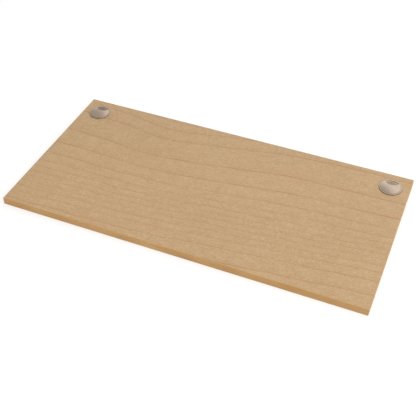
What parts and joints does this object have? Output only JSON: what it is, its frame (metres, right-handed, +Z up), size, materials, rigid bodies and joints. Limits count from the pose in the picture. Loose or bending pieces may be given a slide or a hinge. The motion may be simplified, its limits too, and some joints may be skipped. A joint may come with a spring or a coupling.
{
  "type": "desk top with cable ports",
  "caption": "Rectangular wood-decor desk top with banded edges, round lift-out cable ports near the rear corners, and threaded inserts in the underside.",
  "frame": {"origin": "centre of the underside", "axes": "+X along the length to the right, +Y to the rear edge, +Z up"},
  "size_m": [1.2, 0.6, 0.0336],
  "materials": {
    "chipboard": "raw particleboard",
    "maple_decor": "pale maple decor laminate, matt",
    "maple_edging": "maple-coloured edge band, satin",
    "satin_nickel": "satin nickel",
    "zinc_steel": "bright zinc"
  },
  "bodies": {
    "root": {"core_board": "chipboard", "top_laminate": "maple_decor", "backer_laminate": "maple_decor", "front_edge_band": "maple_edging", "rear_edge_band": "maple_edging", "left_edge_band": "maple_edging", "right_edge_band": "maple_edging", "left_frame_inserts": "zinc_steel", "right_frame_inserts": "zinc_steel", "left_port_sleeve": "satin_nickel", "right_port_sleeve": "satin_nickel"},
    "left_lid": {"left_port_lid": "satin_nickel", "left_pivot_washer": "zinc_steel", "left_pivot_screw": "zinc_steel"},
    "left_shutter": {"left_port_shutter": "satin_nickel"},
    "right_lid": {"right_port_lid": "satin_nickel", "right_pivot_washer": "zinc_steel", "right_pivot_screw": "zinc_steel"},
    "right_shutter": {"right_port_shutter": "satin_nickel"}
  },
  "joints": [
    {"name": "left_lid_lift", "type": "slide", "parent": "root", "child": "left_lid", "axis": [0, 0, 1], "range_m": [0, 0.04]},
    {"name": "left_shutter_turn", "type": "hinge", "parent": "left_lid", "child": "left_shutter", "pos_m": [-0.537, 0.231, 0.0262], "axis": [0, 0, 1], "range_deg": [0, 180]},
    {"name": "right_lid_lift", "type": "slide", "parent": "root", "child": "right_lid", "axis": [0, 0, 1], "range_m": [0, 0.04]},
    {"name": "right_shutter_turn", "type": "hinge", "parent": "right_lid", "child": "right_shutter", "pos_m": [0.537, 0.231, 0.0262], "axis": [0, 0, 1], "range_deg": [0, 180]}
  ]
}
